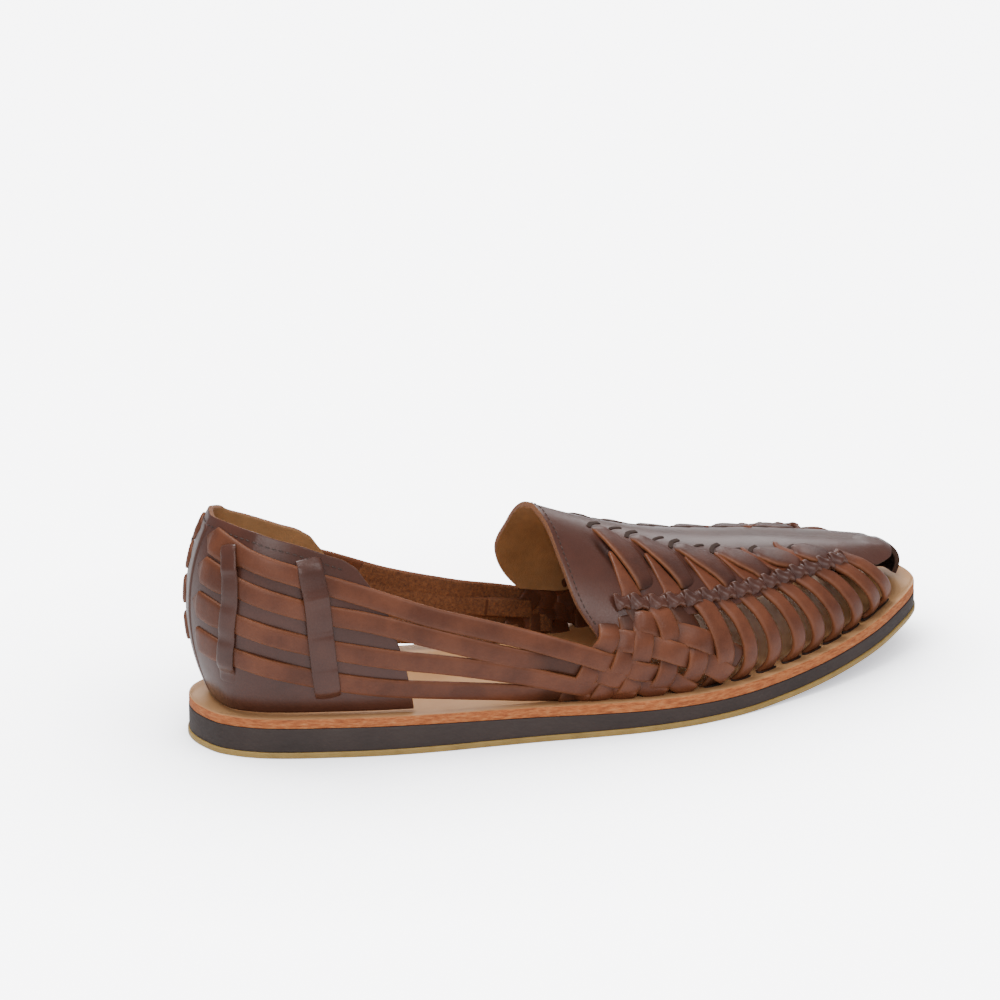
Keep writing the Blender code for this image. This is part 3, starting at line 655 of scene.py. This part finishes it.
patches, under, slitShadows, lobes = [], [], [], []
for side in (-1, 1):
    for row in bands["places"]:
        head, headRise, foot, footRise = row
        t = np.linspace(0, 1, bands["steps"])
        taper = smoothRows(bands["taper"], t)[:, 0]
        rise = headRise + (footRise - headRise) * t[::4]
        places = np.c_[bandLine(row, rise) + bands["width"] / 2 * taper[::4], rise]
        level = bands["lift"] - (0.0 if side < 0 else bands["medialDrop"]) * (1 - ease(t / 0.5))
        headSink = bands["headSink"] * (1 - ease(t / bands["endShare"]))
        footSink = bands["footSink"] * (1 - ease((1 - t) / bands["endShare"]))
        lift = level - headSink - footSink
        patches.append(strip(side, places, bands, lift, bands["steps"], 0.3, side * bands["tilt"] * ease(t / 0.3),
                             taper, (0.08, 0.65), 0.35))
        # painted shadow in the slit that the band comes out of: a thin dark arc across its head
        arc = [(head - 0.4, headRise - 0.03), (head + 2.2, headRise + 0.022), (head + 7.0, headRise + 0.058)]
        slitShadows.append(strip(side, arc, bands["slit"], bands["slit"]["lift"], 16, 0.0))
        # the end of the under strip that shows behind the band's foot
        spots = np.array([0.21, 0.14, 0.07, 0.0, -0.03]) + footRise
        end = np.c_[bandLine(row, spots) - np.array([0.6, 1.6, 2.8, 4.0, 4.4]), spots]
        low = bands["under"]
        under.append(strip(side, end, low, low["lift"], low["steps"], 0.15, 0.0, np.linspace(0.15, 1, low["steps"]),
                           (0.5, 0.5)))
    # painted shadow in the small slits: thin dark arcs
    for first, second in bands["smallSlits"]:
        middle = ((first[0] + second[0]) / 2 - 0.5, (first[1] + second[1]) / 2 + 0.006)
        slitShadows.append(strip(side, [first, middle, second], bands["smallSlit"], bands["slit"]["lift"], 12, 0.0))
    # the folded lower edge: one dark band along the vamp's edge, rocked by a sine so that it reads as lobes
    lobe = vamp["lobe"]
    phase = 2 * np.pi * lobe["count"] * np.linspace(0, 1, 401)
    wave = phase + 0.4 * np.sin(phase)
    lift = lobe["lift"] + lobe["lift"] * np.sin(wave)
    lobes.append(strip(side, vamp["lobes"], lobe, lift, 401, 0.5, lobe["rock"] * np.cos(wave),
                       0.9 + lobe["swell"] * np.cos(phase), (0.15, 0.15)))
brownPiece("vamp_bands", patches, "band")
brownPiece("under_strips", under, "strip")
brownPiece("vamp_slit_shadows", slitShadows, "slot")
brownPiece("edge_lobes", lobes, "dark")

# Ribs from the vamp's edge to the footbed: head station and rise, foot station
ribs = {
    "places": ((262.0, 0.64, 275.5), (254.0, 0.606, 268.0), (245.0, 0.565, 257.5), (235.0, 0.535, 247.5),
               (226.5, 0.505, 237.0), (218.5, 0.487, 227.0), (208.5, 0.455, 215.0), (199.0, 0.44, 203.0)),
    "width": 6.6, "thickness": 1.9, "swing": 3.0, "steps": 46,
    # shares of the way down, and there the lift, the twist and the width
    "lift": ((0, 0.1, 0.25, 0.7, 1), (-1.0, -0.6, 0.6, 0.5, -0.8)),
    "twist": ((0, 0.3, 0.8, 1), (0.0, 0.12, 0.1, 0.0)), "taper": ((0, 0.25, 0.6, 1), (0.8, 0.92, 1.0, 0.86)),
}
print("ribs")
patches, slots = [], []
for side in (-1, 1):
    for head, headRise, foot in ribs["places"]:
        places = [(head - 2.5, headRise + 0.095), (head - 0.3, headRise + 0.025),
                  (head + 0.3 * (foot - head) + 0.8 * ribs["swing"], headRise * 0.74),
                  (head + 0.62 * (foot - head) + ribs["swing"], headRise * 0.42), (foot, 0.0), (foot - 1.2, -0.05)]
        t = np.linspace(0, 1, ribs["steps"])
        patches.append(strip(side, places, ribs, np.interp(t, *ribs["lift"]), ribs["steps"], 0.35,
                             side * np.interp(t, *ribs["twist"]), np.interp(t, *ribs["taper"]), (0.25, 0.7), 0.4))
        slots.append((side, foot))
brownPiece("toe_ribs", patches, "strip")

# Side braid: strips that come down from the vamp's corner, and strips that run forward through them
braid = {
    "down": (((188.5, 0.47), (190.5, 0.40), (192.5, 0.28), (193.0, 0.14), (190.0, 0.0)),
             ((178.5, 0.45), (181.5, 0.37), (182.5, 0.26), (180.5, 0.13), (176.0, 0.0)),
             ((171.0, 0.43), (172.5, 0.36), (172.0, 0.26), (168.5, 0.12), (163.0, 0.0)),
             ((163.5, 0.42), (163.0, 0.35), (161.0, 0.27), (157.0, 0.13), (151.5, 0.0)),
             ((159.5, 0.37), (157.5, 0.31), (154.0, 0.23), (148.0, 0.11), (142.0, 0.0)),
             ((151.5, 0.325), (148.0, 0.28), (143.5, 0.22), (137.0, 0.12), (131.5, 0.02))),
    "across": (((160.0, 0.385), (167.0, 0.365), (174.0, 0.335), (183.0, 0.29), (192.0, 0.23), (201.0, 0.14)),
               ((150.0, 0.295), (159.0, 0.28), (168.0, 0.25), (177.0, 0.205), (186.0, 0.15), (195.0, 0.06))),
    "width": 8.3, "thickness": 1.8, "lift": 1.0, "twist": 0.12, "crossReach": 4.0,
    # lift of the strips' heads on the lateral and on the medial side, and the steps over which it ends
    "headLift": (-1.0, 0.4), "headSteps": 8,
}
# Straps from the heel seam over the counter and into the braid
straps = {
    "places": (((-1.8, 0.585), (6.0, 0.547), (23.0, 0.493), (55.0, 0.42), (76.0, 0.37), (107.0, 0.31),
                (137.0, 0.227), (149.0, 0.18), (168.0, 0.10), (180.0, 0.0)),
               ((-1.8, 0.487), (6.5, 0.45), (26.0, 0.39), (56.0, 0.341), (84.0, 0.28), (107.0, 0.225),
                (140.0, 0.145), (154.0, 0.09), (168.0, 0.0)),
               ((-1.8, 0.372), (7.4, 0.336), (29.0, 0.274), (57.0, 0.226), (90.0, 0.184), (123.0, 0.115),
                (142.0, 0.055), (156.0, 0.0)),
               ((-1.8, 0.248), (8.0, 0.219), (33.0, 0.153), (58.0, 0.11), (85.0, 0.085), (118.0, 0.045),
                (138.5, 0.0))),
    "width": 7.4, "thickness": 1.8, "barStations": (3.0, 31.0), "barHalf": 5.5, "barDip": 0.25,
    # lift on the counter, with a swell of a given height, station and half width, and lift in the free part
    "counterLift": 0.15, "swell": (0.5, 17, 7), "freeLift": 0.1, "freeFrom": 48, "freeRun": 22,
    "weaveFrom": 112, "weaveRun": 16,
    # how much wider it is cut round the back of the heel, and from which station that ends
    "backWider": 0.4, "backEnd": 1.5, "backRun": 4,
    # the flesh side: its stretch and how far it stands below the strap
    "flesh": {"span": (68, 150), "width": 6.6, "thickness": 0.3, "below": 0.12, "steps": 60},
}
# The medial side of the heel sits lower: station, share of the lateral rise
medialRise = ((-2.0, 1.00), (4.0, 0.94), (12.0, 0.91), (40.0, 0.88), (70.0, 0.83), (100.0, 0.79), (130.0, 0.79),
              (155.0, 0.80), (185.0, 0.88), (205.0, 0.97), (220.0, 1.00))


def onSide(side, places):
    # the places as they are on the lateral side, and with their rises lowered on the medial side
    places = np.asarray(places, float)
    if side < 0:
        return places
    return np.c_[places[:, 0], places[:, 1] * smoothRows(medialRise, places[:, 0])[:, 0]]


def weave(places, others, count, first):
    # over and under in turn: at each crossing plus or minus the lift, joined by cosine easing
    at = along(places, count)
    t = np.linspace(0, 1, count)
    knots = []
    for k, other in enumerate(others):
        line = along(other, 60)
        gap = np.hypot(at[:, None, 0] - line[None, :, 0], riseLength * (at[:, None, 1] - line[None, :, 1]))
        if gap.min() < braid["crossReach"]:
            knots.append((t[np.unravel_index(gap.argmin(), gap.shape)[0]],
                          braid["lift"] * (1 if (k + first) % 2 == 0 else -1)))
    knots.sort()
    if not knots:
        return np.zeros(count)
    place, height = np.array(knots).T
    i = np.clip(np.searchsorted(place, t) - 1, 0, max(len(place) - 2, 0))
    j = np.minimum(i + 1, len(place) - 1)
    share = np.clip((t - place[i]) / np.maximum(place[j] - place[i], 1e-6), 0, 1)
    return height[i] + (height[j] - height[i]) * (0.5 - 0.5 * np.cos(np.pi * share))


print("braid and straps")
patches, strapPatches, inner = [], [], []
for side in (-1, 1):
    crossing = braid["across"] + straps["places"]
    for k, places in enumerate(braid["down"]):
        count = 60
        lift = weave(places, crossing, count, k)
        steps = braid["headSteps"]
        lift[:steps] = np.linspace(braid["headLift"][0 if side < 0 else 1], lift[steps], steps)
        head = (places[0][0] - 0.6, places[0][1] + 0.04)
        places = onSide(side, [head] + list(places[1:]) + [(places[-1][0] - 1.0, -0.05)])
        patches.append(strip(side, places, braid, lift, count, 0.35, side * braid["twist"], 1.0, (0.6, 0.6), 0.6))
        slots.append((side, places[-2][0]))
    for k, places in enumerate(braid["across"]):
        count = 70
        lift = weave(places, braid["down"], count, k + 1)
        patches.append(strip(side, onSide(side, places), braid, lift, count, 0.3, 0.0, 1.0, (0.6, 0.6), 0.6))
    for k, places in enumerate(straps["places"]):
        count, places = 190, onSide(side, places)
        at = along(places, count)
        lift = weave(places, braid["down"], count, k + len(braid["across"]) + 1)
        # over the counter it lies on the hide and dips under each bar; forward of it, it runs free
        station = at[:, 0]
        height, middle, half = straps["swell"]
        onCounter = straps["counterLift"] + height * np.exp(-((station - middle) / half)**2)
        for bar in straps["barStations"]:
            onCounter = onCounter - straps["barDip"] * np.exp(-((station - bar) / straps["barHalf"])**2)
        free = ease((station - straps["freeFrom"]) / straps["freeRun"])
        woven = ease((station - straps["weaveFrom"]) / straps["weaveRun"])
        lift = np.where(station < straps["weaveFrom"], onCounter * (1 - free) + straps["freeLift"] * free,
                        lift * woven + straps["freeLift"] * (1 - woven))
        wide = 1 + straps["backWider"] * (1 - ease((station - straps["backEnd"]) / straps["backRun"]))
        strapPatches.append(strip(side, places, straps, lift, count, 0.22, 0.0, wide, (0.7, 0.7), 0.55))
        # the rough flesh side, seen from inside
        flesh = straps["flesh"]
        inside = at[(station > flesh["span"][0]) & (station < flesh["span"][1])][::4]
        spots = np.linspace(0, len(inside) - 1, flesh["steps"]).astype(int)
        below = np.interp(inside[:, 0], station, lift)[spots] - straps["thickness"] / 2 - flesh["below"]
        inner.append(strip(side, inside, flesh, below, flesh["steps"], 0.0))
brownPiece("side_braid", patches, "strip")
brownPiece("heel_straps", strapPatches, "strip")
brownPiece("strap_backs", inner, "flesh")

# Counter round the heel
counter = {
    "thickness": 2.0, "bevel": 0.5, "rows": 61, "columns": 161,
    # rise, station of the front edge
    "front": ((0.00, 72.5), (0.10, 70.5), (0.20, 67.5), (0.30, 63.0), (0.40, 57.5), (0.47, 50.5), (0.70, 50.5)),
    # share of the way from the back seam to the front edge, rise of the collar
    "collar": ((0.00, 0.645), (0.30, 0.640), (0.50, 0.616), (0.64, 0.596), (0.80, 0.565), (0.92, 0.537),
               (0.97, 0.510), (1.00, 0.465)),
    # each bar's line of places (station, rise), from the collar down
    "bars": (((2.3, 0.585), (4.3, 0.44), (5.0, 0.28), (5.2, 0.10)),
             ((22.6, 0.560), (25.5, 0.50), (29.5, 0.42), (34.5, 0.29), (39.0, 0.14), (41.0, 0.05))),
    "barSizes": ({"width": 6.6, "thickness": 1.0}, {"width": 9.6, "thickness": 1.0}),
    "barCrown": 0.3, "barLift": -0.62, "barSteps": 90,
    # swell over a strap and half its width, how deep the ends go and over what share of the bar
    "barSwell": 2.3, "swellHalf": 4.5, "endSink": 0.7, "endShare": 0.06,
}


def counterGrid(rows):
    # from the medial front edge round the back to the lateral one; turn is the front edge's turn times the share
    share = np.linspace(1, -1, counter["columns"])[:, None]
    rise = rows[None, :] * smoothRows(counter["collar"], np.abs(share[:, 0]))
    front = smoothRows(counter["front"], rise)[..., 0]
    station = sole["heelBack"] + (front - sole["heelBack"]) * np.abs(share)**2
    rise = np.where(share > 0, rise * smoothRows(medialRise, station)[..., 0], rise)
    side = np.where(share < 0, -1.0, 1.0)
    turn = turnOf(front) * np.abs(share)
    return side, turn, rise


print("counter")
side, turn, rise = counterGrid(np.linspace(0, 1, counter["rows"]))
piece = makePiece("counter", [(skin(side, turn, rise), False, {"shade": 0.0, "cut": 0.0}, 0)],
                  [finishes["dark"], finishes["lining"], finishes["raw"]])
wall(piece, counter)
patches = []
for side in (-1, 1):
    for form, places in zip(counter["barSizes"], counter["bars"]):
        count = counter["barSteps"]
        places = onSide(side, places)
        at = along(places, count)
        # the bar swells over each strap and lies half sunk in the hide between them
        lift = np.full(count, counter["barLift"])
        for strap in straps["places"]:
            line = along(onSide(side, strap), 200)
            near = np.abs(line[:, 0][None] - at[:, 0][:, None]).argmin(1)
            away = riseLength * (at[:, 1] - line[near, 1])
            lift = lift + counter["barSwell"] * np.exp(-(away / counter["swellHalf"])**4)
        t = np.linspace(0, 1, count)
        lift = lift - counter["endSink"] * (1 - ease(t / counter["endShare"]))
        lift = lift - counter["endSink"] * (1 - ease((1 - t) / counter["endShare"]))
        patches.append(strip(side, places, form, lift, count, counter["barCrown"], raw=(0.0, 0.0)))
brownPiece("counter_bars", patches, "dark")
# the back seam: a narrow upright welt
welt = {
    "places": ((-2.0, 0.62), (-2.0, 0.40), (-2.0, 0.20), (-2.0, 0.02)),
    "width": 4.0, "thickness": 1.0, "lift": -0.45, "crown": 0.15, "steps": 60,
}
brownPiece("back_seam", [strip(1, welt["places"], welt, welt["lift"], welt["steps"], welt["crown"], raw=(0.1, 0.1))],
           "dark")

# Painted shadow in the footbed's slots, where the strips go down: flat dark lenses
slotForm = {"halfLength": 4.6, "halfWidth": 1.5, "shift": 0.1, "above": 0.06, "below": 0.4}
print("slots and stitches")
patches = []
for side, foot in slots:
    turn = turnOf(np.array([foot - slotForm["halfLength"], foot + slotForm["halfLength"]]))
    t = np.linspace(0, 1, 15)[:, None]
    v = np.linspace(0, 2 * np.pi, 13)[None, :-1]
    place = skin(side, turn[0] + (turn[1] - turn[0]) * t, 0.0)
    out = outward(side, turn[0] + (turn[1] - turn[0]) * t[:, 0])[:, None]
    # a flat lens: half width * (1 - (2t - 1)^4)^0.5, low above the board and deeper in it
    size = np.sqrt(np.clip(1 - (2 * t - 1)**4, 0, 1))
    xy = place[:, :, :2] + out * (slotForm["halfWidth"] * size * np.cos(v))[..., None] + out * slotForm["shift"]
    z = seatHeight(xy[..., 0]) + size * np.where(np.sin(v) > 0, slotForm["above"], slotForm["below"]) * np.sin(v)
    grid = np.concatenate([xy, z[..., None]], -1)
    patches.append((grid if side < 0 else grid[:, ::-1], True, {}, 0))
makePiece("footbed_slot_shadows", patches, [finishes["slot"]])


# Pitch, length, thickness and lift of the stitches, how far the throat's line stands from the edge in millimetres,
# and how far the collar's line lies below it as a rise
sewing = {"throat": (2.4, 1.8, 0.5, 0.1), "collar": (2.6, 2.0, 0.5, 0.1), "throatEdge": 2.3, "collarEdge": 0.03}


def stitches(side, places, pitch, length, thick, lift):
    # one small ellipsoid for each stitch, its long axis along the seam
    at = along(places, 400)
    turn, rise = turnOf(at[:, 0]), at[:, 1]
    normal = skinNormal(side, turn, rise)
    middle = skin(side, turn, rise) + normal * lift
    gap = lengthSteps(middle)
    spots = np.arange(pitch / 2, gap[-1], pitch)

    def read(values):
        return np.stack([np.interp(spots, gap, values[:, k]) for k in range(3)], 1)
    middle, normal = read(middle), read(normal)
    run = unit(np.gradient(middle, axis=0))
    across = np.cross(normal, run)
    u = np.linspace(0, np.pi, 6)[:, None]
    v = np.linspace(0, 2 * np.pi, 7)[None, :-1]
    ball = np.stack([np.cos(u) + 0 * v, np.sin(u) * np.cos(v), np.sin(u) * np.sin(v)], -1)
    ball = ball * (length / 2, thick / 2, thick / 2)
    axes = np.stack([run, across, normal], 1)
    grids = np.einsum("uvk,skc->suvc", ball, axes) + middle[:, None, None]
    return [(grid, True, {}, 0) for grid in grids]


patches = []
for side in (-1, 1):
    rise = np.linspace(0.985, 0.36, 12)
    throat = smoothRows(vamp["throat"], rise)[:, 0 if side < 0 else 1]
    patches += stitches(side, np.c_[throat + sewing["throatEdge"], rise], *sewing["throat"])
    share = np.linspace(0.02, 0.9, 14)
    top = smoothRows(counter["collar"], share)[:, 0] - sewing["collarEdge"]
    front = smoothRows(counter["front"], top)[:, 0]
    station = sole["heelBack"] + sole["length"] / 2 * (1 - np.cos(np.pi * turnOf(front) * share))
    patches += stitches(side, onSide(side, np.c_[station, top]), *sewing["collar"])
brownPiece("stitches", patches, "thread")

# Floor, light and camera. To the camera the paper glows evenly, and a painted shadow dims the glow in the corner under
# the shoe: the glow is the cube of how open the place is. Colours from dark to light, half width in metres
paperLook = {
    "base": ((0.90, 0.90, 0.915), (0.93, 0.93, 0.94)), "glow": ((0.10, 0.105, 0.12), (1.0, 1.0, 1.02)),
    "strength": 6.0, "reach": 0.16, "half": 6,
}
print("stage")
half = paperLook["half"]
mesh = bpy.data.meshes.new("floor")
mesh.from_pydata([(-half, -half, 0), (half, -half, 0), (half, half, 0), (-half, half, 0)], [], [(0, 1, 2, 3)])
floor = bpy.data.objects.new("floor", mesh)
bpy.context.scene.collection.objects.link(floor)
paper = Finish("palePaper", {"Roughness": 0.9, "Specular IOR Level": 0.1, "Emission Strength": paperLook["strength"]})
seen = paper.node("ShaderNodeLightPath", out="Is Camera Ray")
# painted shadow: how open the place is, cubed, dims the paper's glow near the shoe
near = paper.node("ShaderNodeAmbientOcclusion", {"samples": 8}, {"Distance": paperLook["reach"]}, out="AO")
glow = paper.mix(near * near * near, *paperLook["glow"])
paper.feed(Base_Color=paper.mix(paper.noise(1.5, 2.0), *paperLook["base"]),
           Emission_Color=paper.mix(seen, (0.0, 0.0, 0.0), glow))
mesh.materials.append(paper.material)

light = {
    # name: place, target, size across and up, watts
    "lamps": {
        "overhead": ((-0.25, 0.05, 1.40), (0.10, 0.0, 0.03), 0.8, 0.8, 21.0),
        "side": ((0.47, -0.74, 0.86), (0.11, 0.0, 0.05), 0.30, 0.75, 3.2),
        "front": ((-0.55, -1.30, 0.75), (0.08, 0.0, 0.04), 0.7, 0.7, 6.5),
        "back": ((0.55, 1.20, 0.80), (0.10, 0.0, 0.04), 1.0, 0.6, 8.0),
    },
    "worldColour": (0.95, 0.96, 1.0, 1.0), "worldStrength": 0.34,
}
for name, (place, target, wide, tall, watts) in light["lamps"].items():
    lamp = bpy.data.lights.new(name, "AREA")
    lamp.shape = "RECTANGLE"
    lamp.size, lamp.size_y, lamp.energy = wide, tall, watts
    lampObject = bpy.data.objects.new(name, lamp)
    lampObject.location = place
    lampObject.rotation_euler = (Vector(target) - Vector(place)).to_track_quat("-Z", "Y").to_euler()
    bpy.context.scene.collection.objects.link(lampObject)
world = bpy.data.worlds.new("studio")
world.use_nodes = True
sky = world.node_tree.nodes["Background"]
sky.inputs["Color"].default_value = light["worldColour"]
sky.inputs["Strength"].default_value = light["worldStrength"]
bpy.context.scene.world = world

# The view was read off the photograph: place in metres, the level right vector, the direction, and the focal
# length in image widths; (across, down) is how far the middle of the picture is from that direction.
view = {
    "place": (-0.57625, -1.93502, 0.80988), "right": (0.942774, -0.333432, 0.000683),
    "direction": (0.311739, 0.880706, -0.356617), "focal": 5.828477, "across": -0.062736, "down": -0.126842,
}
right = Vector(view["right"]).normalized()
ahead = Vector(view["direction"]).normalized()
up = right.cross(ahead)
ahead = (ahead + right * view["across"] / view["focal"] - up * view["down"] / view["focal"]).normalized()
right = (right - ahead * right.dot(ahead)).normalized()
up = right.cross(ahead)
lens = bpy.data.cameras.new("camera")
lens.sensor_fit = "HORIZONTAL"
lens.sensor_width, lens.lens = 36.0, 36.0 * view["focal"]
camera = bpy.data.objects.new("camera", lens)
camera.matrix_world = Matrix.Translation(view["place"]) @ Matrix((right, up, -ahead)).transposed().to_4x4()
bpy.context.scene.collection.objects.link(camera)
bpy.context.scene.camera = camera

bpy.context.view_layer.update()
print("done")
